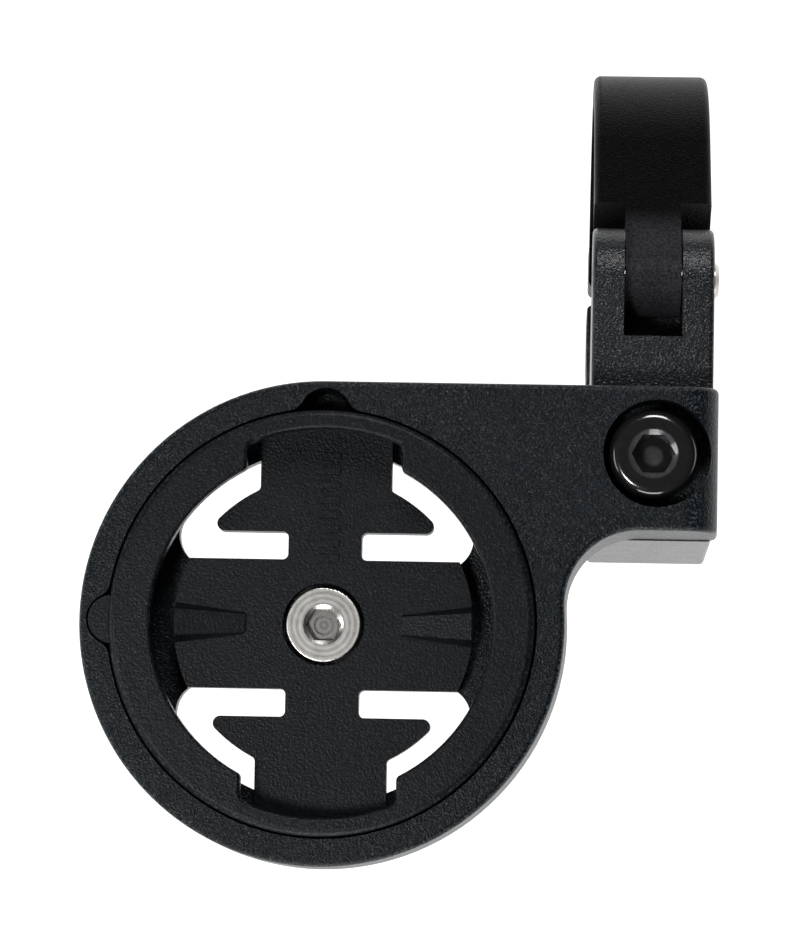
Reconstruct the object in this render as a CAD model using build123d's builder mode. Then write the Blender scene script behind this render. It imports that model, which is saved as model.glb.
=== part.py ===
from build123d import *
import os
from math import radians, sqrt, tan

# Side-arm handlebar mount for a cycling computer.
# Millimetres. The origin is on the handlebar's axis, half way along the clamp.
# +X runs along the bar, away from the computer. -Y is the front of the bicycle. +Z is up.

os.makedirs("parts", exist_ok=True)

# ---------------------------------------------------------------- clamp and hinge
bar_radius = 15.9           # a 31.8 mm handlebar
jaw_wall = 2.5              # clamp wall around the bar
clamp_width = 9.8           # clamp body along the bar
band_side_gap = 0.1         # swinging half inside the body's side
ear_radius = 4.15           # round of the hinge ears about the pin
ear_bar_gap = 0.4           # underside of the ears to the bar
pin_setback = 1.8           # hinge pin ahead of the bar's axis
pin_radius = 1.5
pin_proud = 0.45            # pin end that stands out of the ear
pin_sunk = 0.1              # pin end that stays inside the other ear
pin_chamfer = 0.3
knuckle_radius = 3.0
knuckle_width = 4.5
knuckle_side_gap = 0.1      # knuckle to each ear
slot_behind_pin = 5.05      # hinge pin to the closed end of the fork slot
slot_floor_gap = 0.3        # knuckle to the fork slot's floor
hinge_seam_gap = 0.3        # band to the body's jaw, under the pin
cheek_relief_radius = 6.6   # band cut back around the ears, about the pin
running_gap = 0.05          # radial play of the knuckle on its pin
clamp_edge_round = 0.4
band_edge_round = 0.6

# ---------------------------------------------------------------- closure below the bar
lower_split = 1.5           # middle of the closing gap behind the bar's axis
closing_gap = 1.6
body_lug_depth = 7.5        # lug along the closure screw
band_lug_depth = 4.5
lug_round = 4.3             # lug below the screw's axis
nut_wall = 1.3              # barrel nut to the bar
nut_thread_wall = 1.0       # barrel nut beyond its thread
nut_end_gap = 0.2           # barrel nut's end inside the lug's side
spot_face_gap = 0.3         # washer's seat beyond the washer, radially
washer_thickness = 0.8
washer_overhang = 0.5       # washer beyond the screw's head

# ---------------------------------------------------------------- block under the arm
bolt_bar_wall = 1.05        # arm bolt's axis ahead of the bar's surface
block_foot_drop = 16.3      # height of the block's front wall
block_lean = 2.8            # degrees, front wall leaning forward as it goes down
block_foot_round = 2.2
block_overhang = 0.1        # block's front beyond the foot of the arm's wall
block_chin_drop = 12.5      # slope below the front wall, down to the jaw

# ---------------------------------------------------------------- arm
arm_thickness = 7.0
arm_draft = 2.0             # degrees, walls spreading as they go down
arm_edge_round = 0.45
ring_wall = 2.16            # ring's top outline beyond the insert's recess
socket_side = 25.8          # socket's axis to the clamp's middle, along the bar
socket_forward = 13.74      # socket's axis ahead of the arm bolt
boss_end = 5.05             # boss beyond the arm bolt, along the bar
boss_front = 6.04           # boss ahead of the arm bolt
boss_end_round = 2.8
neck_radius = 5.9
counterbore_gap = 0.75      # counterbore to the bolt's head
counterbore_sink = 0.25     # bolt's head below the arm's top
bolt_seat_shift = 0.3       # counterbore's axis beyond the bolt, along the bar
dowel_radius = 1.0
dowel_spread = 4.35         # each dowel from the arm bolt
dowel_cover = 0.7           # arm left over each dowel's hole
dowel_in_body = 3.0
dowel_end_gap = 0.15

# ---------------------------------------------------------------- insert seat in the arm
insert_gap = 0.15           # insert to its recess, all round
ledge_width = 2.75          # ledge that carries the insert's rim
bridge_width = 9.2
bridge_flare = 2.5
lug_inset = 0.29            # registration lug's centre inside the insert's edge
lug_radius = 1.9
lobe_flare = 1.4

# ---------------------------------------------------------------- quarter-turn insert
rim_stand = 0.5             # rim above the arm's top
rim_round = 0.55
lip_radius = 13.43          # clear mouth between the lips
lip_thickness = 1.6
mouth_round = 0.25
lip_reach = 2.07            # lips beyond the groove's wall
rim_wall = 1.24             # insert's wall outside the groove
notch_width = 12.2
notch_step = 0.2            # notch's end inside the groove's wall
notch_corner = 1.0
lip_corner = 0.45
floor_depth = 3.2           # floor below the arm's top
floor_thickness = 2.0
floor_inset = 1.58          # floor's edge inside the lips
bar_width = 10.25           # spring bar between the slots
neck_width = 5.8
slot_width = 2.2
slot_corner = 0.45
web_corner = 0.6            # acute outer corners of the tongue's webs
tongue_corner = 0.4
tongue_width = 10.4
bar_relief = 0.4            # under the spring bar's free ends
relief_start = 5.0
lug_sunk = 0.1              # lug's top below the arm's top
rib_start = 6.2             # detent ribs, from the socket's axis outward
rib_end_gap = 0.15          # rib's outer end inside the spring bar's end
rib_inner = (0.85, 0.70, 0.35)   # half width at the foot, half width on top, height
rib_outer = (1.60, 1.05, 0.75)
ladder_bars = 8             # plain raised marks on the upper tongue
ladder_pitch = 1.15
ladder_shift = 0.3          # marks beside the tongue's middle
ladder_bar = (1.6, 0.5)
ladder_height = 0.22
ladder_foot = 0.05
ladder_start = 5.3

# ---------------------------------------------------------------- screws
m4_radius = 2.0
m4_head_radius = 3.5
m4_head_height = 4.0
m4_hex = 3.0
m4_hex_depth = 2.2
m4_edge_round = 0.8
arm_bolt_length = 16.0
closure_length = 14.0
closure_thread_depth = 0.25      # closure thread drawn at its pitch size
closure_hole_gap = 0.25          # play of the closure screw in both lugs
arm_bolt_play = 0.4              # play of the arm bolt in the arm's hole
m3_radius = 1.5
m3_head_radius = 2.95
m3_head_height = 1.3
m3_head_gap = 0.3
m3_hex = 2.5
m3_hex_depth = 0.9
m3_edge_round = 0.12
tip_chamfer = 0.3
thread_gap = 0.02
hole_end_gap = 1.2          # tapped hole beyond its screw's tip

# ---------------------------------------------------------------- worked-out places
jaw_radius = bar_radius + jaw_wall
band_width = clamp_width - 2 * band_side_gap
pin_y = -pin_setback
pin_z = bar_radius + ear_bar_gap + ear_radius
arm_bottom = pin_z + ear_radius
arm_top = arm_bottom + arm_thickness
bolt_y = -(bar_radius + bolt_bar_wall)
socket_x = -socket_side
socket_y = bolt_y - socket_forward
draft_spread = arm_thickness * tan(radians(arm_draft))

groove_radius = lip_radius + lip_reach
insert_radius = groove_radius + rim_wall
seat_radius = insert_radius + insert_gap
ring_radius = seat_radius + ring_wall
lobe_offset = insert_radius - lug_inset
floor_radius = lip_radius - floor_inset
seat_depth = floor_depth + floor_thickness
ledge_radius = seat_radius - ledge_width
lobe_radius = lug_radius + insert_gap
insert_bottom = arm_top - seat_depth
floor_top = arm_top - floor_depth
rim_top = arm_top + rim_stand
slot_y = (bar_width + slot_width) / 2

block_front = bolt_y - boss_front - draft_spread - block_overhang
block_foot = arm_bottom - block_foot_drop
nut_radius = m4_radius + nut_thread_wall
closure_z = -(bar_radius + nut_wall + nut_radius)
lug_bottom = closure_z - lug_round
body_face = lower_split - closing_gap / 2
band_face = lower_split + closing_gap / 2
band_lug_end = band_face + band_lug_depth
nut_y = body_face - body_lug_depth / 2
fork_width = knuckle_width + 2 * knuckle_side_gap
washer_radius = m4_head_radius + washer_overhang
spot_face_radius = washer_radius + spot_face_gap
closure_hole_radius = m4_radius + closure_hole_gap
counterbore_depth = m4_head_height + counterbore_sink
dowel_in_arm = arm_thickness - counterbore_depth - dowel_cover - dowel_end_gap


def socket_plane(height):
    """A level plane centred on the socket's axis."""
    return Plane(origin=(socket_x, socket_y, height))


def box_sketch(low_y, high_y, low_z, high_z, mode=Mode.ADD):
    """A rectangle given by its edges, in a sketch across the bar."""
    with Locations(((low_y + high_y) / 2, (low_z + high_z) / 2)):
        return Rectangle(high_y - low_y, high_z - low_z, mode=mode)


def crisp_edges(shape, wanted):
    """The shape's true corners, leaving out seams between walls that run on smoothly."""
    corners = ShapeList()
    for edge in shape.edges():
        middle = edge.position_at(0.5)
        walls = [face for face in shape.faces() if face.distance_to(middle) < 1e-4]
        if len(walls) == 2 and wanted(middle):
            angle = walls[0].normal_at(middle).get_angle(walls[1].normal_at(middle))
            if angle > 15:
                corners.append(edge)
    return corners


def socket_screw(seat, thread_radius, length, head, socket):
    """A hexagon socket screw: seat is the plane under its head, facing out of the head."""
    head_radius, head_height, edge_round = head
    hex_size, hex_depth = socket
    head_top = seat.offset(head_height)
    with BuildPart() as screw:
        with BuildSketch(seat):
            Circle(head_radius)
        extrude(amount=head_height)
        rim = screw.faces().sort_by(Axis(seat.origin, seat.z_dir))[-1].edges()
        fillet(rim, edge_round)
        with BuildSketch(head_top.offset(-hex_depth)):
            RegularPolygon(hex_size / 2, 6, major_radius=False)
        extrude(amount=head_height, mode=Mode.SUBTRACT)
        with BuildSketch(head_top):
            Circle(hex_size * 0.64)
        extrude(amount=-hex_size * 0.1, taper=60, mode=Mode.SUBTRACT)
        with BuildSketch(head_top.offset(-hex_depth)):
            Circle(hex_size * 0.31)
        extrude(amount=-hex_size * 0.06, mode=Mode.SUBTRACT)
        with BuildSketch(seat):
            Circle(thread_radius)
        extrude(amount=-length)
        tip = screw.faces().sort_by(Axis(seat.origin, seat.z_dir))[0].edges()
        chamfer(tip, tip_chamfer)
    return screw


# ================================================================ arm plate
with BuildPart() as arm_plate:
    with BuildSketch(socket_plane(arm_top)) as outline:
        Circle(ring_radius)
        with Locations(((socket_side + boss_end) / 2, (socket_forward - boss_front + ring_radius) / 2)):
            Rectangle(socket_side + boss_end, ring_radius - socket_forward + boss_front)
        boss_line = socket_forward - boss_front
        neck = Vector(sqrt(ring_radius ** 2 - boss_line ** 2), boss_line, 0)
        fillet(outline.vertices().sort_by_distance(neck)[0], neck_radius)
    extrude(amount=-arm_thickness, taper=-arm_draft)
    end_edge = arm_plate.faces().sort_by(Axis.Z)[-1].edges().sort_by(Axis.X)[-1]
    fillet(end_edge, boss_end_round)
    fillet(crisp_edges(arm_plate.part, lambda p: p.Z > arm_bottom + 0.01), arm_edge_round)

    with BuildSketch(socket_plane(arm_top)) as recess:
        Circle(seat_radius)
        with Locations((-lobe_offset, 0), (0, lobe_offset)):
            Circle(lobe_radius)
        fillet(recess.vertices(), lobe_flare)
    extrude(amount=-seat_depth, mode=Mode.SUBTRACT)

    with BuildSketch(socket_plane(insert_bottom)) as windows:
        Circle(ledge_radius)
        Rectangle(2 * ledge_radius, bridge_width, mode=Mode.SUBTRACT)
        fillet(windows.vertices(), bridge_flare)
    extrude(amount=-arm_thickness, mode=Mode.SUBTRACT)

    with Locations(socket_plane(insert_bottom)):
        Hole(m3_radius + thread_gap)
    with Locations(Location((bolt_seat_shift, bolt_y, arm_top))):
        CounterBoreHole(m4_radius + arm_bolt_play, m4_head_radius + counterbore_gap, counterbore_depth)
    underside = Plane(origin=(0, bolt_y, arm_bottom), z_dir=(0, 0, -1))
    with Locations(underside):
        with Locations((0, -dowel_spread), (0, dowel_spread)):
            Hole(dowel_radius + thread_gap, depth=dowel_in_arm + dowel_end_gap)
arm_plate.part.label = "arm_plate"
export_step(arm_plate.part, "parts/arm_plate.step")


# ================================================================ quarter-turn insert
with BuildPart() as quarter_turn_insert:
    with BuildSketch(socket_plane(insert_bottom)):
        Circle(insert_radius)
    extrude(amount=rim_top - insert_bottom)
    fillet(quarter_turn_insert.faces().sort_by(Axis.Z)[-1].edges(), rim_round)

    # Groove that the computer's tabs turn in, under the two lips
    with BuildSketch(socket_plane(floor_top)):
        Circle(groove_radius)
    extrude(amount=rim_top - lip_thickness - floor_top, mode=Mode.SUBTRACT)

    # Mouth between the lips, with a notch front and back for the tabs
    with BuildSketch(socket_plane(rim_top)) as mouth:
        Circle(groove_radius - notch_step)
        Rectangle(notch_width, 2 * groove_radius, mode=Mode.INTERSECT)
        fillet(mouth.vertices(), notch_corner)
        Circle(lip_radius)
        lip_end = sqrt(lip_radius ** 2 - (notch_width / 2) ** 2)
        for corner in ((-1, -1), (-1, 1), (1, -1), (1, 1)):
            place = Vector(corner[0] * notch_width / 2, corner[1] * lip_end, 0)
            fillet(mouth.vertices().sort_by_distance(place)[0], lip_corner)
    extrude(amount=-lip_thickness, mode=Mode.SUBTRACT)
    mouth_edges = quarter_turn_insert.faces().sort_by(Axis.Z)[-1].inner_wires()[0].edges()
    fillet(mouth_edges, mouth_round)

    # Open gap around the floor, and the slots that free the spring bar
    with BuildSketch(socket_plane(insert_bottom)) as gaps:
        Circle(groove_radius)
        Circle(floor_radius, mode=Mode.SUBTRACT)
        Rectangle(tongue_width, 2 * groove_radius, mode=Mode.SUBTRACT)
        for side in (-1, 1):
            slot_length = groove_radius - neck_width / 2
            with Locations((side * (neck_width + slot_length) / 2, slot_y),
                           (side * (neck_width + slot_length) / 2, -slot_y)):
                Rectangle(slot_length, slot_width)
        Circle(groove_radius, mode=Mode.INTERSECT)
        slot_ends = [(x, y) for x in (-neck_width / 2, neck_width / 2)
                     for y in (-slot_y - slot_width / 2, -slot_y + slot_width / 2,
                               slot_y - slot_width / 2, slot_y + slot_width / 2)]
        for end in slot_ends:
            fillet(gaps.vertices().sort_by_distance(Vector(*end, 0))[0], slot_corner)
        web_y = slot_y + slot_width / 2
        web_x = sqrt(floor_radius ** 2 - web_y ** 2)
        root_y = sqrt(floor_radius ** 2 - (tongue_width / 2) ** 2)
        for x_side, y_side in ((-1, -1), (-1, 1), (1, -1), (1, 1)):
            web = Vector(x_side * web_x, y_side * web_y, 0)
            fillet(gaps.vertices().sort_by_distance(web)[0], web_corner)
            root = Vector(x_side * tongue_width / 2, y_side * root_y, 0)
            fillet(gaps.vertices().sort_by_distance(root)[0], tongue_corner)
    extrude(amount=floor_thickness, mode=Mode.SUBTRACT)

    # Relief that lets the spring bar's free ends bend down
    with BuildSketch(socket_plane(insert_bottom)):
        for side in (-1, 1):
            with Locations((side * (relief_start + floor_radius) / 2, 0)):
                Rectangle(floor_radius - relief_start + 1, bar_width + slot_width)
    extrude(amount=bar_relief, mode=Mode.SUBTRACT)

    # Detent ribs that click into the computer's foot
    for side in (-1, 1):
        for reach, section in ((rib_start, rib_inner), (floor_radius - rib_end_gap, rib_outer)):
            foot, crest, height = section
            across = Plane(origin=(socket_x + side * reach, socket_y, floor_top),
                           x_dir=(0, 1, 0), z_dir=(1, 0, 0))
            with BuildSketch(across):
                with BuildLine():
                    Polyline((-foot, -0.2), (-foot, 0), (-crest, height), (crest, height),
                             (foot, 0), (foot, -0.2), close=True)
                make_face()
        loft()
    # Lug that sets which way round the insert sits
    with BuildSketch(socket_plane(insert_bottom)):
        with Locations((-lobe_offset, 0)):
            Circle(lug_radius)
        Circle(insert_radius - 1, mode=Mode.SUBTRACT)
    extrude(amount=seat_depth - lug_sunk)

    # Plain raised marks on the upper tongue
    with BuildSketch(socket_plane(floor_top - ladder_foot)):
        for step in range(ladder_bars):
            with Locations((ladder_shift, ladder_start + step * ladder_pitch)):
                Rectangle(*ladder_bar)
    extrude(amount=ladder_foot + ladder_height)

    with Locations(socket_plane(floor_top)):
        CounterBoreHole(m3_radius + 0.1, m3_head_radius + m3_head_gap, m3_head_height)
quarter_turn_insert.part.label = "quarter_turn_insert"
export_step(quarter_turn_insert.part, "parts/quarter_turn_insert.step")


# ================================================================ clamp body
with BuildPart() as clamp_body:
    with BuildSketch(Plane.YZ) as section:
        Circle(jaw_radius)
        box_sketch(body_face, 2 * jaw_radius, -2 * jaw_radius, 0, mode=Mode.SUBTRACT)
        box_sketch(pin_y, 2 * jaw_radius, 0, 2 * jaw_radius, mode=Mode.SUBTRACT)
        foot_y = block_front - block_foot_drop * tan(radians(block_lean))
        with BuildLine() as block:
            Polyline((block_front, arm_bottom), (foot_y, block_foot),
                     (-bar_radius, block_foot - block_chin_drop), (0, 0), (pin_y, arm_bottom), close=True)
        make_face()
        with Locations((pin_y, pin_z)):
            Circle(ear_radius)
        box_sketch(body_face - body_lug_depth, body_face, lug_bottom, -bar_radius)
        Circle(bar_radius, mode=Mode.SUBTRACT)
        foot = section.vertices().sort_by_distance(Vector(foot_y, block_foot, 0))[0]
        fillet(foot, block_foot_round)
        lug_corners = section.vertices().group_by(Axis.Y)[0]
        fillet(lug_corners, body_lug_depth * 0.3)
    extrude(amount=clamp_width / 2, both=True)

    def outer_side(point):
        """Corners along the clamp's two sides, away from the bore."""
        on_side = abs(abs(point.X) - clamp_width / 2) < 0.01
        return on_side and Vector(0, point.Y, point.Z).length > bar_radius + 0.01

    fillet(crisp_edges(clamp_body.part, outer_side), clamp_edge_round)

    with BuildSketch(Plane.YZ):
        box_sketch(pin_y - slot_behind_pin, pin_y, pin_z - knuckle_radius - slot_floor_gap, arm_top)
        box_sketch(pin_y, pin_y + 2 * ear_radius, 0, arm_top)
    extrude(amount=fork_width / 2, both=True, mode=Mode.SUBTRACT)
    with BuildSketch(Plane.YZ):
        with Locations((pin_y, pin_z)):
            Circle(pin_radius)
        with Locations((nut_y, closure_z)):
            Circle(nut_radius)
    extrude(amount=clamp_width, both=True, mode=Mode.SUBTRACT)
    with Locations(Plane(origin=(0, body_face, closure_z), z_dir=(0, 1, 0))):
        Hole(closure_hole_radius)
    with Locations(Plane(origin=(0, bolt_y, arm_bottom))):
        Hole(m4_radius + thread_gap, depth=arm_bolt_length - (arm_thickness - counterbore_depth) + hole_end_gap)
        with Locations((0, -dowel_spread), (0, dowel_spread)):
            Hole(dowel_radius, depth=dowel_in_body)
clamp_body.part.label = "clamp_body"
export_step(clamp_body.part, "parts/clamp_body.step")


# ================================================================ clamp band
with BuildPart() as clamp_band:
    with BuildSketch(Plane.YZ) as hoop:
        Circle(jaw_radius)
        with Locations((pin_y, pin_z)):
            Circle(knuckle_radius)
        make_hull()
        box_sketch(-2 * jaw_radius, pin_y + hinge_seam_gap, 0, 2 * arm_top, mode=Mode.SUBTRACT)
        box_sketch(-2 * jaw_radius, band_face, -2 * jaw_radius, 0, mode=Mode.SUBTRACT)
        box_sketch(band_face, band_lug_end, lug_bottom, -bar_radius)
        Circle(bar_radius, mode=Mode.SUBTRACT)
        with Locations((pin_y, pin_z)):
            Circle(knuckle_radius)
        fillet(hoop.vertices().group_by(Axis.Y)[0], band_lug_depth * 0.3)
    extrude(amount=band_width / 2, both=True)

    # Cheeks cut back on both sides of the knuckle, to swing around the ears
    for side in (-1, 1):
        with BuildSketch(Plane.YZ.offset(side * knuckle_width / 2)):
            with Locations((pin_y, pin_z)):
                Circle(cheek_relief_radius)
        extrude(amount=side * band_width, mode=Mode.SUBTRACT)

    def outer_edge(point):
        """Corners along the band's two sides, away from the bore and the cut-back cheeks."""
        on_side = abs(abs(point.X) - band_width / 2) < 0.01
        clear_of_bore = Vector(0, point.Y, point.Z).length > bar_radius + 0.01
        clear_of_cheek = Vector(0, point.Y - pin_y, point.Z - pin_z).length > cheek_relief_radius + 0.01
        return on_side and clear_of_bore and clear_of_cheek

    fillet(crisp_edges(clamp_band.part, outer_edge), band_edge_round)
    with BuildSketch(Plane.YZ):
        with Locations((pin_y, pin_z)):
            Circle(pin_radius + running_gap)
    extrude(amount=band_width, both=True, mode=Mode.SUBTRACT)
    with BuildSketch(Plane(origin=(0, band_lug_end, closure_z), z_dir=(0, 1, 0))):
        Circle(spot_face_radius)
    extrude(amount=jaw_radius, mode=Mode.SUBTRACT)
    with Locations(Plane(origin=(0, band_lug_end, closure_z), z_dir=(0, 1, 0))):
        Hole(closure_hole_radius)
clamp_band.part.label = "clamp_band"
export_step(clamp_band.part, "parts/clamp_band.step")


# ================================================================ hinge pin
with BuildPart() as hinge_pin:
    with BuildSketch(Plane.YZ.offset(pin_sunk - clamp_width / 2)):
        with Locations((pin_y, pin_z)):
            Circle(pin_radius)
    extrude(amount=clamp_width - pin_sunk + pin_proud)
    chamfer(hinge_pin.edges().filter_by(GeomType.CIRCLE), pin_chamfer)
hinge_pin.part.label = "hinge_pin"
export_step(hinge_pin.part, "parts/hinge_pin.step")


# ================================================================ locating dowels
with BuildPart() as locating_dowels:
    with BuildSketch(Plane(origin=(0, bolt_y, arm_bottom - dowel_in_body))):
        with Locations((0, -dowel_spread), (0, dowel_spread)):
            Circle(dowel_radius)
    extrude(amount=dowel_in_body + dowel_in_arm)
    chamfer(locating_dowels.edges().filter_by(GeomType.CIRCLE), 0.2)
locating_dowels.part.label = "locating_dowels"
export_step(locating_dowels.part, "parts/locating_dowels.step")


# ================================================================ barrel nut in the body's lug
with BuildPart() as barrel_nut:
    with BuildSketch(Plane.YZ):
        with Locations((nut_y, closure_z)):
            Circle(nut_radius)
    extrude(amount=clamp_width / 2 - nut_end_gap, both=True)
    chamfer(barrel_nut.edges().filter_by(GeomType.CIRCLE), 0.3)
    with Locations(Plane(origin=(0, nut_y + nut_radius, closure_z), z_dir=(0, 1, 0))):
        Hole(m4_radius)
barrel_nut.part.label = "barrel_nut"
export_step(barrel_nut.part, "parts/barrel_nut.step")


# ================================================================ washer under the closure screw
with BuildPart() as closure_washer:
    with BuildSketch(Plane(origin=(0, band_lug_end, closure_z), z_dir=(0, 1, 0))):
        Circle(washer_radius)
        Circle(m4_radius + 0.15, mode=Mode.SUBTRACT)
    extrude(amount=washer_thickness)
    chamfer(closure_washer.edges().sort_by(Axis.Y)[-1], 0.15)
closure_washer.part.label = "closure_washer"
export_step(closure_washer.part, "parts/closure_washer.step")


# ================================================================ screws
m4_head = (m4_head_radius, m4_head_height, m4_edge_round)
arm_bolt = socket_screw(Plane(origin=(0, bolt_y, arm_top - counterbore_depth)), m4_radius,
                        arm_bolt_length, m4_head, (m4_hex, m4_hex_depth))
arm_bolt.part.label = "arm_bolt"
export_step(arm_bolt.part, "parts/arm_bolt.step")

closure_seat = Plane(origin=(0, band_lug_end + washer_thickness, closure_z), z_dir=(0, 1, 0))
closure_screw = socket_screw(closure_seat, m4_radius - closure_thread_depth,
                             closure_length, m4_head, (m4_hex, m4_hex_depth))
closure_screw.part.label = "closure_screw"
export_step(closure_screw.part, "parts/closure_screw.step")

m3_head = (m3_head_radius, m3_head_height, m3_edge_round)
insert_screw = socket_screw(socket_plane(floor_top - m3_head_height), m3_radius,
                            floor_top - m3_head_height - arm_bottom, m3_head, (m3_hex, m3_hex_depth))
insert_screw.part.label = "insert_screw"
export_step(insert_screw.part, "parts/insert_screw.step")
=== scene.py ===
"""Side-arm handlebar mount for a cycling computer.

Materials, fine detail, studio and camera around the CAD parts."""

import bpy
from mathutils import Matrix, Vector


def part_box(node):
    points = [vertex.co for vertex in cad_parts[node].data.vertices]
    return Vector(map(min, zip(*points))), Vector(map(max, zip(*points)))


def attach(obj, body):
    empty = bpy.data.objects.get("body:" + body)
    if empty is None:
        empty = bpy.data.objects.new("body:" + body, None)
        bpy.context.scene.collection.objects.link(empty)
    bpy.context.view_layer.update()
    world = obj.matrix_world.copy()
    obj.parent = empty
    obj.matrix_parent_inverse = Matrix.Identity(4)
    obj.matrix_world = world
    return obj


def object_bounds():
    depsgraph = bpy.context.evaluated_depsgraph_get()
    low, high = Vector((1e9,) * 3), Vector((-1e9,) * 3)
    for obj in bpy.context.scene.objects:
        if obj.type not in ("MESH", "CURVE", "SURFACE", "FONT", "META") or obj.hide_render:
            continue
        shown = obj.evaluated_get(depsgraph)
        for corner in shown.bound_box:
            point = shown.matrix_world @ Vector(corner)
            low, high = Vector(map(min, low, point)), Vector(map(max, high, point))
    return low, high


bl_info = {
    "name": "Side-Arm Computer Mount",
    "version": (1, 0, 0),
    "blender": (4, 5, 0),
    "location": "3D View > Sidebar > Mount",
    "description": "Finishes the handlebar mount: metal, moulded plastic, threads, knurling "
                   "and a plain studio",
    "category": "Object",
}

import math

import bmesh
import bpy
import numpy as np
from bpy.props import (FloatProperty, FloatVectorProperty, IntProperty,
                       PointerProperty)
from mathutils import Matrix, Vector

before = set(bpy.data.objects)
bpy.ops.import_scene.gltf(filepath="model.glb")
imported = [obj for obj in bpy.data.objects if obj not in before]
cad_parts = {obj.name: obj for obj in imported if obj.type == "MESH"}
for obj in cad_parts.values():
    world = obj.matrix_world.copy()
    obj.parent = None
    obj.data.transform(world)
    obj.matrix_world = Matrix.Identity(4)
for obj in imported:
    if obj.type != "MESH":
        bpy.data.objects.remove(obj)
CAD_LOW, CAD_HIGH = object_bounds()
MM = 0.001

# Closure screw's thread and knurling, in millimetres.
THREAD_ROOT = 1.75          # radius of the valleys
THREAD_CREST = 1.97         # radius of the ridge
THREAD_START_GAP = 0.35     # screw's tip to the thread
THREAD_END_GAP = 0.6        # thread to the washer
THREAD_SUNK = 0.06          # ridge's foot inside the valleys
KNURL_START_GAP = 0.45      # washer to the knurling
KNURL_LENGTH = 2.7
KNURL_SUNK = 0.05           # band's inside below the head's surface
KNURL_VALLEY = 0.01         # valleys below the head's surface
KNURL_RISE = 0.09           # crests above the head's surface

# Points in the wound and knurled surfaces.
STEPS_PER_TURN = 40
POINTS_PER_TOOTH = 8

# Studio.
FLOOR_REACH = 3.0           # metres from the middle to each side
FLOOR_POINTS = 9            # along a side
FLOOR_GAP = 0.2             # millimetres under the clamp
SOFT_BOXES = (              # name, place in metres, side in metres, watts
    ("front_box", (-0.05, -0.8, 0.3), 0.5, 4.0),
    ("high_box", (-0.22, -0.2, 0.62), 0.12, 1.6),
    ("left_box", (-0.75, -0.1, 0.35), 0.4, 1.5),
    ("back_box", (0.05, 0.5, 0.6), 0.25, 2.4),
)
CAMERA_SPOT = (17.0, -17.0)     # millimetres from the socket's axis
CAMERA_AIM = (5.94, 11.73)      # millimetres from the socket's axis
SENSOR_WIDTH = 36.0             # millimetres


# ---------------------------------------------------------------- places read from the CAD parts
def middle(node):
    """Centre of a CAD node's box, in metres."""
    low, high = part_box(node)
    return (np.array(low) + np.array(high)) / 2


SOCKET = middle("insert_screw")
ARM_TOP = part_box("arm_plate")[1][2]
BOLT = middle("arm_bolt")
CLOSURE = middle("closure_screw")
PIN = middle("hinge_pin")


# ---------------------------------------------------------------- shader maths in Python
class Socket:
    """One output of a node tree, with Python's operators for numbers."""

    def __init__(self, tree, link):
        self.tree = tree
        self.link = link

    def maths(self, operation, *values):
        return self.tree.node("ShaderNodeMath", {"operation": operation}, dict(enumerate((self, *values))))

    def __add__(self, other):
        return self.maths("ADD", other)

    __radd__ = __add__

    def __mul__(self, other):
        return self.maths("MULTIPLY", other)

    __rmul__ = __mul__

    def __sub__(self, other):
        return self.maths("SUBTRACT", other)

    def __rsub__(self, other):
        return self * -1.0 + other

    def __pow__(self, other):
        return self.maths("POWER", other)

    def sine(self):
        return self.maths("SINE")

    def clipped(self, low=0.0, high=1.0):
        return self.maths("MAXIMUM", low).maths("MINIMUM", high)

    def stepped(self, start, end):
        """0 below start, 1 above end, smooth between."""
        return self.tree.node(
            "ShaderNodeMapRange", {"interpolation_type": "SMOOTHSTEP", "clamp": True},
            {"Value": self, "From Min": start, "From Max": end})


class Graph:
    """A node tree that any node is added to by one method."""

    def __init__(self, tree):
        self.nodes = tree.nodes
        self.links = tree.links

    def put(self, place, value):
        if isinstance(value, Socket):
            self.links.new(value.link, place)
        elif isinstance(value, (tuple, list)) and len(value) == 3 and place.type == "RGBA":
            place.default_value = (*value, 1.0)
        else:
            place.default_value = value

    def node(self, kind, settings=None, values=None, output=0):
        """Adds a node: its settings first, then the values or links of its sockets."""
        new = self.nodes.new(kind)
        for name, value in (settings or {}).items():
            setattr(new, name, value)
        for name, value in (values or {}).items():
            if value is not None:
                self.put(new.inputs[name], value)
        return Socket(self, new.outputs[output])

    def parts(self, vector):
        """The three numbers of a vector."""
        split = self.nodes.new("ShaderNodeSeparateXYZ")
        self.put(split.inputs[0], vector)
        return [Socket(self, out) for out in split.outputs]


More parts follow.
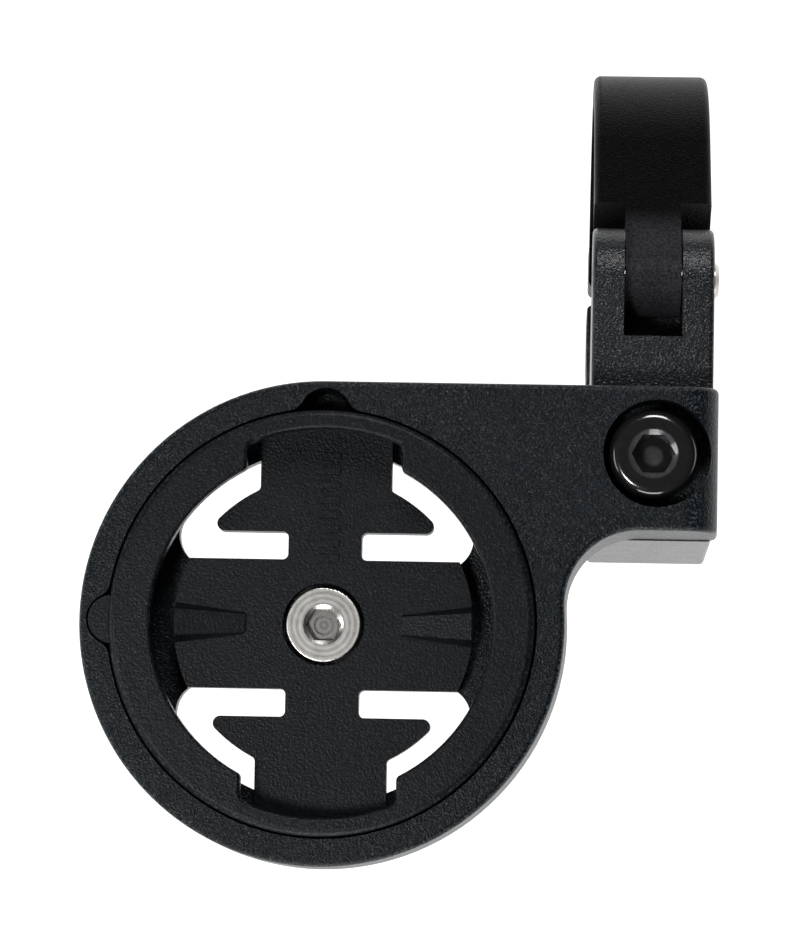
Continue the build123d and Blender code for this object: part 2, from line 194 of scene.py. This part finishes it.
class Finish(Graph):
    """A material's node tree around one Principled surface."""

    def __init__(self, name, **surface):
        self.material = bpy.data.materials.new(name)
        self.material.use_nodes = True
        super().__init__(self.material.node_tree)
        self.surface = next(n for n in self.nodes if n.type == "BSDF_PRINCIPLED")
        self.set(**surface)

    def set(self, **values):
        """Sets sockets of the surface; underscores stand for spaces."""
        for name, value in values.items():
            self.put(self.surface.inputs[name.replace("_", " ")], value)

    def place(self, centre=(0, 0, 0), turn=(0, 0, 0), scale=(1, 1, 1)):
        """Object coordinates in millimetres from centre, turned and stretched."""
        here = self.node("ShaderNodeTexCoord", output=3)
        moved = self.node("ShaderNodeVectorMath", {"operation": "SUBTRACT"}, {0: here, 1: tuple(centre)})
        grown = self.node("ShaderNodeVectorMath", {"operation": "SCALE"}, {0: moved, "Scale": 1000.0})
        return self.node("ShaderNodeMapping", {"vector_type": "POINT"},
                         {"Vector": grown, "Rotation": turn, "Scale": scale})

    def noise(self, vector, scale, detail, roughness, distortion=0.0):
        return self.node("ShaderNodeTexNoise", {"normalize": True},
                         {"Vector": vector, "Scale": scale, "Detail": detail,
                          "Roughness": roughness, "Distortion": distortion})

    def cells(self, vector, scale, feature="F1"):
        return self.node("ShaderNodeTexVoronoi", {"feature": feature}, {"Vector": vector, "Scale": scale})

    def blend(self, amount, first, second):
        """Colour between first and second by amount."""
        mix = self.nodes.new("ShaderNodeMix")
        mix.data_type = "RGBA"
        self.put(mix.inputs["Factor"], amount)
        for name, value in (("A", first), ("B", second)):
            place = next(s for s in mix.inputs if s.name == name and s.type == "RGBA")
            self.put(place, value)
        return Socket(self, next(s for s in mix.outputs if s.type == "RGBA"))

    def paint_edge_highlight(self, height, top, depth, grit):
        """Painted highlight of light grains on the rounded edge just under a top face: height and top in
        millimetres.
        """
        below = top - height
        band = below.stepped(0.02, 0.08) * (1.0 - below.stepped(depth * 0.7, depth))
        return band * grit.stepped(0.5, 0.66)

    def bump(self, height, strength, depth, under=None):
        """Normal from a height of 0 to 1 over depth millimetres."""
        return self.node("ShaderNodeBump", {}, {"Height": height, "Strength": strength,
                                                 "Distance": depth * MM, "Normal": under})


def scaled(colour, factor):
    """A colour made lighter or darker."""
    return tuple(min(1.0, c * factor) for c in colour)


def painted_highlight_tint(colour, factor):
    """A colour made lighter and nearly grey, for painted glints and painted highlights."""
    grey = sum(colour) / 3
    return tuple(min(1.0, (0.8 * grey + 0.2 * c) * factor) for c in colour)


# ---------------------------------------------------------------- finishes
def blasted_metal(name, colour, roughness, grain, centre, gloss=0.2, streak=None, pin=None, top=None):
    """Anodised aluminium: a fine bead-blasted grain, faint cloudiness and a few painted glints as sparse
    bright speckles.

    streak stretches extra fine lines over it. pin is the axis of a knuckle whose colour is painted much
    lighter as a painted highlight, while the rest is smooth black. top is the height of a top face whose
    rounded edge has a painted highlight."""
    fin = Finish(name, Metallic=0.0, IOR=1.5, Specular_IOR_Level=gloss)
    here = fin.place(centre)
    fine = fin.noise(here, 5.2, 1.5, 0.6)
    pits = fin.cells(here, 5.6)
    cloud = fin.noise(here, 0.35, 3.0, 0.5)
    painted_glints = fin.noise(here, 5.4, 1.0, 0.5).stepped(0.6, 0.7)
    tone = ((fine - 0.5) * 1.8 + 0.35 + cloud * 0.3).clipped()
    base = fin.blend(tone, scaled(colour, 0.3), scaled(colour, 1.7))
    # Painted glints: sparse bright speckles in the colour stand in for grains catching the light.
    base = fin.blend(painted_glints * 0.8, base, painted_highlight_tint(colour, 6.0))
    if pin is not None:
        # Painted highlight: close to the pin the colour is painted much lighter, standing in for light caught
        # by the knuckle.
        x, y, z = fin.parts(fin.place(pin))
        knuckle_painted_highlight = 1.0 - ((y * y + z * z) ** 0.5).stepped(3.4, 6.2)
        base = fin.blend(knuckle_painted_highlight, base, fin.blend(tone, scaled(colour, 4.0), scaled(colour, 36.0)))
    if top is not None:
        # Painted highlight: light grains on the rounded top edge stand in for light caught there.
        edge_painted_highlight = fin.paint_edge_highlight(fin.parts(here)[2], top, 0.42, fine)
        base = fin.blend(edge_painted_highlight * 0.8, base, painted_highlight_tint(colour, 14.0))
    fin.set(Base_Color=base)
    sheen = (roughness - 0.05) + fine * 0.06 + cloud * 0.06 - painted_glints * 0.08
    fin.set(Roughness=sheen.clipped(0.05, 0.95))
    height = fine * 0.7 + pits * 0.3
    normal = fin.bump(height, grain, 0.12)
    if streak:
        along = fin.place(centre, scale=streak)
        lines = fin.noise(along, 4.0, 3.0, 0.6)
        normal = fin.bump(lines, 0.35, 0.01, normal)
    fin.set(Normal=normal)
    return fin.material


def moulded_nylon(name, colour, roughness):
    """Moulded nylon: a spark-eroded texture, faint flow marks and painted glints as sparse bright speckles."""
    fin = Finish(name, Metallic=0.0, IOR=1.53, Specular_IOR_Level=0.2)
    here = fin.place(SOCKET)
    skin = fin.noise(here, 5.6, 2.0, 0.65)
    grains = fin.cells(here, 5.0, "SMOOTH_F1")
    flow = fin.noise(here, 0.28, 2.0, 0.5, 0.8)
    painted_glints = fin.noise(here, 5.8, 1.0, 0.5).stepped(0.62, 0.71)
    tone = ((skin - 0.5) * 1.6 + 0.35 + flow * 0.3).clipped()
    base = fin.blend(tone, scaled(colour, 0.35), scaled(colour, 1.7))
    # Painted glints: sparse bright speckles in the colour stand in for grains catching the light.
    base = fin.blend(painted_glints * 0.6, base, painted_highlight_tint(colour, 7.0))
    rim_top = (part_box("quarter_turn_insert")[1][2] - SOCKET[2]) / MM
    # Painted highlight: light grains on the rounded top edge stand in for light caught there.
    edge_painted_highlight = fin.paint_edge_highlight(fin.parts(here)[2], rim_top, 0.3, skin)
    fin.set(Base_Color=fin.blend(edge_painted_highlight * 0.7, base, painted_highlight_tint(colour, 14.0)))
    fin.set(Roughness=((roughness - 0.08) + skin * 0.1 + flow * 0.08).clipped(0.05, 0.95))
    fin.set(Normal=fin.bump(skin * 0.6 + grains * 0.4, 0.7, 0.08))
    return fin.material


def turned_steel(name, colour, roughness, centre, axis, pitch, dark=0.75, top=None):
    """Turned steel: fine tool rings round an axis, slight stain and a few scratches.

    Where top is given, what lies deeper than that along the axis is the socket, darkened with painted shade."""
    fin = Finish(name, Metallic=1.0)
    here = fin.place(centre)
    x, y, z = fin.parts(here)
    across = {"X": (y, z), "Y": (x, z), "Z": (x, y)}[axis]
    radius = (across[0] * across[0] + across[1] * across[1]) ** 0.5
    wobble = fin.noise(here, 2.5, 2.0, 0.5)
    rings = (radius * (pitch * 2 * math.pi) + wobble * 2.0).sine() * 0.5 + 0.5
    stain = fin.noise(here, 1.1, 4.0, 0.6)
    scratch = fin.noise(fin.place(centre, turn=(0.4, 0.7, 0.9), scale=(12.0, 0.7, 0.7)), 2.0, 2.0, 0.5)
    base = fin.blend((stain * 0.7 + rings * 0.3).clipped(), scaled(colour, dark), colour)
    if top is not None:
        # Painted shade: the colour darkens down into the hex socket.
        socket_painted_shade = (top - {"X": x, "Y": y, "Z": z}[axis]).stepped(0.1, 0.7)
        base = fin.blend(socket_painted_shade * (0.45 + stain * 0.5), base, scaled(colour, 0.3))
    fin.set(Base_Color=base)
    fin.set(Roughness=((roughness - 0.06) + rings * 0.05 + stain * 0.08).clipped(0.05, 0.95))
    fin.set(Normal=fin.bump(scratch * 0.5 + stain * 0.5, 0.2, 0.01))
    return fin.material


def black_oxide(name, colour, roughness, centre, axis=None):
    """Black oxide steel: dark, oily and glossy, with a faint mottle and soft handling marks.

    Where the screw's axis is given, the socket's conical mouth has a painted highlight and the drilled spot in
    its floor a painted reflection."""
    fin = Finish(name, Metallic=0.35, IOR=1.6, Specular_IOR_Level=1.0, Coat_Weight=0.6, Coat_Roughness=0.08)
    here = fin.place(centre)
    mottle = fin.noise(here, 2.2, 4.0, 0.6)
    fine = fin.noise(here, 11.0, 3.0, 0.6)
    rub = fin.noise(here, 0.9, 3.0, 0.5).stepped(0.55, 0.75)
    base = fin.blend((mottle * 0.7 + fine * 0.3).clipped(), scaled(colour, 0.7), scaled(colour, 1.5))
    if axis:
        x, y, z = fin.parts(here)
        across = {"Y": (x, z), "Z": (x, y)}[axis]
        radius = (across[0] * across[0] + across[1] * across[1]) ** 0.5
        # Painted highlight on the socket's conical mouth and painted reflection on the floor's drilled spot,
        # both in lighter colour.
        mouth_painted_highlight = radius.stepped(1.45, 1.6) * (1.0 - radius.stepped(1.8, 2.05))
        spot = 1.0 - radius.stepped(0.6, 0.95)
        base = fin.blend((mouth_painted_highlight * 0.8 + spot) * (mottle * 0.8 + 0.2), base, scaled(colour, 14.0))
    fin.set(Base_Color=base)
    fin.set(Roughness=((roughness - 0.04) + mottle * 0.07 + rub * 0.05).clipped(0.05, 0.95))
    fin.set(Normal=fin.bump(fine * 0.5 + mottle * 0.5, 0.1, 0.012))
    return fin.material


# ---------------------------------------------------------------- surfaces worked out on grids
def grid_piece(name, points, closed_across, closed_along, caps=()):
    """A mesh from an array of rows by columns of points, in metres.

    Row i and column j make the quad (i, j), (i, j+1), (i+1, j+1), (i+1, j). closed_along joins the last row
    to the first, closed_across the last column to the first, and caps fill the end rows with a fan."""
    rows, columns = points.shape[:2]
    i = np.arange(rows if closed_along else rows - 1)[:, None]
    j = np.arange(columns if closed_across else columns - 1)[None, :]
    down, right = (i + 1) % rows, (j + 1) % columns
    quads = np.stack([i * columns + j, i * columns + right,
                      down * columns + right, down * columns + j], axis=-1)
    faces = quads.reshape(-1, 4).tolist()
    vertices = points.reshape(-1, 3)
    ring = np.arange(columns)
    for row, inward in caps:
        centre = points[row].mean(axis=0)
        vertices = np.vstack([vertices, centre])
        a, b = row % rows * columns + ring, row % rows * columns + (ring + 1) % columns
        fan = np.stack([np.full(columns, len(vertices) - 1), a, b], axis=-1)
        faces += (fan[:, ::-1] if inward else fan).tolist()
    mesh = bpy.data.meshes.new(name)
    mesh.from_pydata(vertices.tolist(), [], faces)
    mesh.update()
    mesh.polygons.foreach_set("use_smooth", np.ones(len(mesh.polygons), dtype=bool))
    piece = bpy.data.objects.new(name, mesh)
    bpy.context.collection.objects.link(piece)
    return piece


def outward(piece):
    """Turns every face of a closed piece outwards."""
    build = bmesh.new()
    build.from_mesh(piece.data)
    bmesh.ops.remove_doubles(build, verts=build.verts, dist=1e-7)
    bmesh.ops.recalc_face_normals(build, faces=build.faces)
    build.to_mesh(piece.data)
    build.free()
    return piece


def screw_thread(name, start, direction, length, root, crest, pitch, taper=1.2):
    """A thread ridge wound on a shank.

    t counts turns. The ridge is a closed four-sided section: two points just inside the root radius, 0.84 of a
    pitch apart, and two at the crest radius, 0.16 of a pitch apart. It climbs one pitch a turn and sinks to
    the root over its first and last taper turns."""
    turns = length / pitch
    steps = int(turns * STEPS_PER_TURN)
    t = np.linspace(0.0, turns, steps)
    rise = np.clip(np.minimum(t, turns - t) / taper, 0.02, 1.0)
    climb = t * pitch
    section = np.array([(-0.42, 0.0), (-0.08, 1.0), (0.08, 1.0), (0.42, 0.0)])
    radius = root + (crest - root) * rise[:, None] * section[None, :, 1]
    radius[:, (0, 3)] -= THREAD_SUNK * MM
    along = np.clip(climb[:, None] + section[None, :, 0] * pitch * rise[:, None], 0.0, length)
    axis = np.array(direction, dtype=float)
    side = np.array((1.0, 0.0, 0.0)) if abs(axis[0]) < 0.5 else np.array((0.0, 1.0, 0.0))
    over = np.cross(axis, side)
    angle = (t * 2 * np.pi)[:, None, None]
    points = (np.array(start) + axis * along[..., None]
              + (side * np.cos(angle) + over * np.sin(angle)) * radius[..., None])
    piece = grid_piece(name, points, True, False, caps=((0, False), (-1, True)))
    return outward(piece)


def knurled_band(name, start, direction, length, inner, root, crest, teeth):
    """Straight knurling round a screw head.

    At angle a the outside radius rises and falls between root and crest as a rounded triangle wave with the
    given number of teeth; it fades to the root over the ends, and the inside is a plain bore at inner."""
    around = teeth * POINTS_PER_TOOTH
    a = np.linspace(0.0, 2 * np.pi, around, endpoint=False)
    wave = 0.5 + 0.5 * np.arcsin(0.97 * np.sin(a * teeth)) / (np.pi / 2)
    stations = np.array([0.0, 0.0, 0.06, 0.14, 0.5, 0.86, 0.94, 1.0, 1.0])
    height = np.array([0.0, 0.0, 0.55, 1.0, 1.0, 1.0, 0.55, 0.0, 0.0])
    radius = root + (crest - root) * height[:, None] * wave[None, :]
    radius[0], radius[-1] = inner, inner
    axis = np.array(direction, dtype=float)
    side = np.array((1.0, 0.0, 0.0)) if abs(axis[0]) < 0.5 else np.array((0.0, 1.0, 0.0))
    over = np.cross(axis, side)
    ring = side * np.cos(a)[:, None] + over * np.sin(a)[:, None]
    points = (np.array(start) + axis * (stations * length)[:, None, None] + ring[None] * radius[..., None])
    piece = grid_piece(name, points, True, True)
    return outward(piece)


def ride_and_finish(piece, body, material):
    """Puts a new piece on its body and its material."""
    piece.data.materials.append(material)
    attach(piece, body)


def dress(node, material):
    """Gives a CAD node its material."""
    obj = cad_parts[node]
    if not obj.material_slots:
        obj.data.materials.append(material)
    for place in obj.material_slots:
        place.material = material


# ---------------------------------------------------------------- what a user would change
class ArmLooks(bpy.types.PropertyGroup):
    """Colours and finish of the metal parts."""

    arm_colour: FloatVectorProperty(name="Arm colour", description="Anodised colour of the arm",
                                    subtype="COLOR", size=3, default=(0.0035, 0.0062, 0.0085), min=0, max=1)
    clamp_colour: FloatVectorProperty(name="Clamp colour", description="Anodised colour of the clamp body",
                                      subtype="COLOR", size=3, default=(0.010, 0.0115, 0.0145), min=0, max=1)
    band_colour: FloatVectorProperty(name="Band colour", description="Anodised colour of the swinging band",
                                     subtype="COLOR", size=3, default=(0.0016, 0.0016, 0.0018), min=0, max=1)
    arm_roughness: FloatProperty(name="Arm roughness", description="How matt the arm is",
                                 subtype="FACTOR", default=0.34, min=0, max=1)
    band_roughness: FloatProperty(name="Band roughness", description="How matt the band is",
                                  subtype="FACTOR", default=0.36, min=0, max=1)
    grain: FloatProperty(name="Grain", description="Strength of the blasted grain",
                         subtype="FACTOR", default=0.8, min=0, max=1)


class SocketLooks(bpy.types.PropertyGroup):
    """Colour and finish of the moulded socket."""

    insert_colour: FloatVectorProperty(name="Socket colour", description="Colour of the moulded socket",
                                       subtype="COLOR", size=3, default=(0.0032, 0.0042, 0.0062),
                                       min=0, max=1)
    insert_roughness: FloatProperty(name="Socket roughness", description="How matt the moulding is",
                                    subtype="FACTOR", default=0.38, min=0, max=1)


class HardwareLooks(bpy.types.PropertyGroup):
    """Colours of screws and pins, and sizes of their fine detail."""

    steel_colour: FloatVectorProperty(name="Steel colour", description="Stainless screw and ground pins",
                                      subtype="COLOR", size=3, default=(0.9, 0.88, 0.84), min=0, max=1)
    plated_colour: FloatVectorProperty(name="Plated colour", description="Zinc plating of the barrel nut",
                                       subtype="COLOR", size=3, default=(0.42, 0.43, 0.45), min=0, max=1)
    oxide_colour: FloatVectorProperty(name="Oxide colour", description="Black oxide of the bolts",
                                      subtype="COLOR", size=3, default=(0.014, 0.014, 0.015), min=0, max=1)
    thread_pitch: FloatProperty(name="Thread pitch", description="Pitch of the closure screw's thread",
                                subtype="DISTANCE", unit="LENGTH", default=0.7 * MM, min=0.3 * MM,
                                max=1.5 * MM, precision=5)
    knurl_teeth: IntProperty(name="Knurl teeth", description="Grooves round the closure screw's head",
                             default=48, min=12, max=96)


class StudioLooks(bpy.types.PropertyGroup):
    """Floor, lights and camera."""

    floor_colour: FloatVectorProperty(name="Floor colour", description="Colour of the floor",
                                      subtype="COLOR", size=3, default=(0.3, 0.3, 0.3), min=0, max=1)
    floor_glow: FloatProperty(name="Floor glow", description="Light given off by the floor sheet",
                              default=1.05, min=0, max=5)
    ceiling_strength: FloatProperty(name="Ceiling strength", description="Brightness of the studio overhead",
                                    default=0.78, min=0, max=10)
    light_power: FloatProperty(name="Light power", description="Factor on the power of the soft boxes",
                               default=1.0, min=0, max=100)
    camera_height: FloatProperty(name="Camera height", description="Camera above the arm's top",
                                 subtype="DISTANCE", unit="LENGTH", default=0.33, min=0.1, max=2)
    camera_roll: FloatProperty(name="Camera roll",
                               description="Turn of the camera about its line of sight, degrees",
                               default=-1.1, min=-180, max=180)
    camera_lens: FloatProperty(name="Camera lens", description="Focal length on a 36 mm sensor",
                               subtype="DISTANCE_CAMERA", default=160.2, min=20, max=400)


# ---------------------------------------------------------------- operators
class MOUNT_OT_arm(bpy.types.Operator):
    """Finish the arm plate"""

    bl_idname = "mount.arm"
    bl_label = "Arm"

    def execute(self, context):
        looks = context.scene.mount_arm
        dress("arm_plate", blasted_metal("arm_anodised", tuple(looks.arm_colour), looks.arm_roughness,
                                         looks.grain, SOCKET, top=(ARM_TOP - SOCKET[2]) / MM))
        return {"FINISHED"}


class MOUNT_OT_clamp(bpy.types.Operator):
    """Finish the clamp body and the swinging band"""

    bl_idname = "mount.clamp"
    bl_label = "Clamp"

    def execute(self, context):
        looks = context.scene.mount_arm
        dress("clamp_body", blasted_metal("clamp_anodised", tuple(looks.clamp_colour),
                                          looks.arm_roughness - 0.06, looks.grain * 0.8, (0, 0, 0), 0.4))
        dress("clamp_band", blasted_metal("band_anodised", tuple(looks.band_colour), looks.band_roughness,
                                          looks.grain * 0.6, (0, 0, 0), 0.04, (8.0, 0.5, 0.5), PIN))
        return {"FINISHED"}


class MOUNT_OT_socket(bpy.types.Operator):
    """Finish the moulded quarter-turn socket"""

    bl_idname = "mount.socket"
    bl_label = "Socket"

    def execute(self, context):
        looks = context.scene.mount_socket
        dress("quarter_turn_insert", moulded_nylon("socket_nylon", tuple(looks.insert_colour),
                                                   looks.insert_roughness))
        return {"FINISHED"}


class MOUNT_OT_hardware(bpy.types.Operator):
    """Finish the screws, pins, nut and washer"""

    bl_idname = "mount.hardware"
    bl_label = "Hardware"

    def execute(self, context):
        looks = context.scene.mount_hardware
        steel, plated = tuple(looks.steel_colour), tuple(looks.plated_colour)
        oxide = tuple(looks.oxide_colour)
        dress("insert_screw", turned_steel("stainless_screw", steel, 0.3, SOCKET, "Z", 2.2, 0.88,
                                           (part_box("insert_screw")[1][2] - SOCKET[2]) / MM))
        dress("arm_bolt", black_oxide("arm_bolt_oxide", oxide, 0.16, BOLT, "Z"))
        dress("locating_dowels", turned_steel("dowel_steel", steel, 0.3, BOLT, "Z", 6.0))
        dress("hinge_pin", turned_steel("pin_steel", scaled(steel, 0.66), 0.26, PIN, "X", 2.5))
        dress("barrel_nut", turned_steel("nut_zinc", plated, 0.4, middle("barrel_nut"), "X", 2.0, 0.6))
        dress("closure_washer", black_oxide("washer_oxide", oxide, 0.32, CLOSURE))
        dress("closure_screw", black_oxide("closure_screw_oxide", oxide, 0.2, CLOSURE, "Y"))
        return {"FINISHED"}


class MOUNT_OT_thread(bpy.types.Operator):
    """Wind the closure screw's thread"""

    bl_idname = "mount.thread"
    bl_label = "Closure thread"

    def execute(self, context):
        looks = context.scene.mount_hardware
        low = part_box("closure_screw")[0]
        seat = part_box("closure_washer")[0][1]
        start = (CLOSURE[0], low[1] + THREAD_START_GAP * MM, CLOSURE[2])
        piece = screw_thread("closure_thread", start, (0, 1, 0), seat - THREAD_END_GAP * MM - start[1],
                             THREAD_ROOT * MM, THREAD_CREST * MM, looks.thread_pitch)
        ride_and_finish(piece, "closure",
                        black_oxide("thread_oxide", tuple(looks.oxide_colour), 0.3, CLOSURE))
        return {"FINISHED"}


class MOUNT_OT_knurl(bpy.types.Operator):
    """Knurl the closure screw's head"""

    bl_idname = "mount.knurl"
    bl_label = "Closure knurling"

    def execute(self, context):
        looks = context.scene.mount_hardware
        low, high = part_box("closure_screw")
        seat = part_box("closure_washer")[1][1]
        radius = (high[0] - low[0]) / 2
        start = (CLOSURE[0], seat + KNURL_START_GAP * MM, CLOSURE[2])
        piece = knurled_band("closure_knurl", start, (0, 1, 0), KNURL_LENGTH * MM,
                             radius - KNURL_SUNK * MM, radius - KNURL_VALLEY * MM,
                             radius + KNURL_RISE * MM, looks.knurl_teeth)
        ride_and_finish(piece, "closure",
                        black_oxide("knurl_oxide", tuple(looks.oxide_colour), 0.3, CLOSURE))
        return {"FINISHED"}


class MOUNT_OT_studio(bpy.types.Operator):
    """Lay the floor, hang the lights and place the camera"""

    bl_idname = "mount.studio"
    bl_label = "Studio"

    def execute(self, context):
        looks = context.scene.mount_studio
        self.floor(looks)
        self.lights(looks)
        self.camera(context, looks)
        return {"FINISHED"}

    def floor(self, looks):
        """A square glowing sheet just under the clamp, very faintly clouded."""
        side = np.linspace(-FLOOR_REACH, FLOOR_REACH, FLOOR_POINTS)
        x, y = np.meshgrid(side, side)
        level = CAD_LOW[2] - FLOOR_GAP * MM
        points = np.stack([x.T, y.T, np.full_like(x, level)], axis=-1)
        sheet = grid_piece("floor", points, False, False)
        fin = Finish("floor_paper", Roughness=0.9, Specular_IOR_Level=0.1, Emission_Color=(1.0, 1.0, 1.0),
                     Emission_Strength=looks.floor_glow)
        cloud = fin.noise(fin.place(), 0.004, 2.0, 0.5)
        colour = tuple(looks.floor_colour)
        fin.set(Base_Color=fin.blend(cloud, scaled(colour, 0.985), colour))
        sheet.data.materials.append(fin.material)

    def lights(self, looks):
        """Walls bright in front and dark behind, an even ceiling, and soft boxes for the highlights."""
        world = bpy.data.worlds.new("studio_world")
        bpy.context.scene.world = world
        world.use_nodes = True
        sky = Graph(world.node_tree)
        back = next(n for n in sky.nodes if n.type == "BACKGROUND")
        x, y, z = sky.parts(sky.node("ShaderNodeTexCoord"))
        front = (y * -1.0 - x * 0.3).stepped(-0.15, 0.55)
        high = z.stepped(0.35, 0.8)
        nadir = (z * -1.0).stepped(0.62, 0.78)
        walls = front * 0.95 + 0.1
        level = walls * (1.0 - high) + high * looks.ceiling_strength
        sky.put(back.inputs["Strength"], level * (1.0 - nadir) + nadir * 0.7)
        for name, spot, size, power in SOFT_BOXES:
            lamp = bpy.data.lights.new(name, "AREA")
            lamp.shape = "SQUARE"
            lamp.size = size
            lamp.energy = power * looks.light_power
            box = bpy.data.objects.new(name, lamp)
            bpy.context.collection.objects.link(box)
            box.location = spot
            box.rotation_euler = (-Vector(spot)).to_track_quat("-Z", "Y").to_euler()

    def camera(self, context, looks):
        """A long lens above the arm, looking almost straight down, the rider's side up."""
        view = bpy.data.cameras.new("camera")
        view.lens = looks.camera_lens
        view.sensor_width = SENSOR_WIDTH
        view.clip_start, view.clip_end = 0.01, 20.0
        eye = bpy.data.objects.new("camera", view)
        context.collection.objects.link(eye)
        spot = Vector((SOCKET[0] + CAMERA_SPOT[0] * MM, SOCKET[1] + CAMERA_SPOT[1] * MM,
                       ARM_TOP + looks.camera_height))
        aim = Vector((SOCKET[0] + CAMERA_AIM[0] * MM, SOCKET[1] + CAMERA_AIM[1] * MM, ARM_TOP))
        forward = (aim - spot).normalized()
        roll = math.radians(looks.camera_roll)
        right = forward.cross(Vector((math.sin(roll), math.cos(roll), 0))).normalized()
        up = right.cross(forward)
        eye.matrix_world = Matrix((
            (right.x, up.x, -forward.x, spot.x),
            (right.y, up.y, -forward.y, spot.y),
            (right.z, up.z, -forward.z, spot.z),
            (0, 0, 0, 1)))
        context.scene.camera = eye
        context.scene.view_settings.view_transform = "Standard"


class MOUNT_PT_panel(bpy.types.Panel):
    """Steps and settings of the mount"""

    bl_idname = "MOUNT_PT_panel"
    bl_label = "Computer Mount"
    bl_space_type = "VIEW_3D"
    bl_region_type = "UI"
    bl_category = "Mount"

    def draw(self, context):
        layout = self.layout
        for group, names in GROUPS.items():
            box = layout.box()
            looks = getattr(context.scene, group)
            for name in looks.__annotations__:
                box.prop(looks, name)
            for step in names:
                box.operator(step)


GROUPS = {
    "mount_arm": ("mount.arm", "mount.clamp"),
    "mount_socket": ("mount.socket",),
    "mount_hardware": ("mount.hardware", "mount.thread", "mount.knurl"),
    "mount_studio": ("mount.studio",),
}
LOOKS = {"mount_arm": ArmLooks, "mount_socket": SocketLooks, "mount_hardware": HardwareLooks,
         "mount_studio": StudioLooks}
CLASSES = (*LOOKS.values(), MOUNT_OT_arm, MOUNT_OT_clamp, MOUNT_OT_socket, MOUNT_OT_hardware,
           MOUNT_OT_thread, MOUNT_OT_knurl, MOUNT_OT_studio, MOUNT_PT_panel)


def register():
    for cls in CLASSES:
        bpy.utils.register_class(cls)
    for name, looks in LOOKS.items():
        setattr(bpy.types.Scene, name, PointerProperty(type=looks))


def unregister():
    for name in LOOKS:
        delattr(bpy.types.Scene, name)
    for cls in reversed(CLASSES):
        bpy.utils.unregister_class(cls)


def main():
    register()
    bpy.ops.mount.studio()
    bpy.ops.mount.arm()
    bpy.ops.mount.clamp()
    bpy.ops.mount.socket()
    bpy.ops.mount.hardware()
    bpy.ops.mount.thread()
    bpy.ops.mount.knurl()


if __name__ == "__main__":
    main()
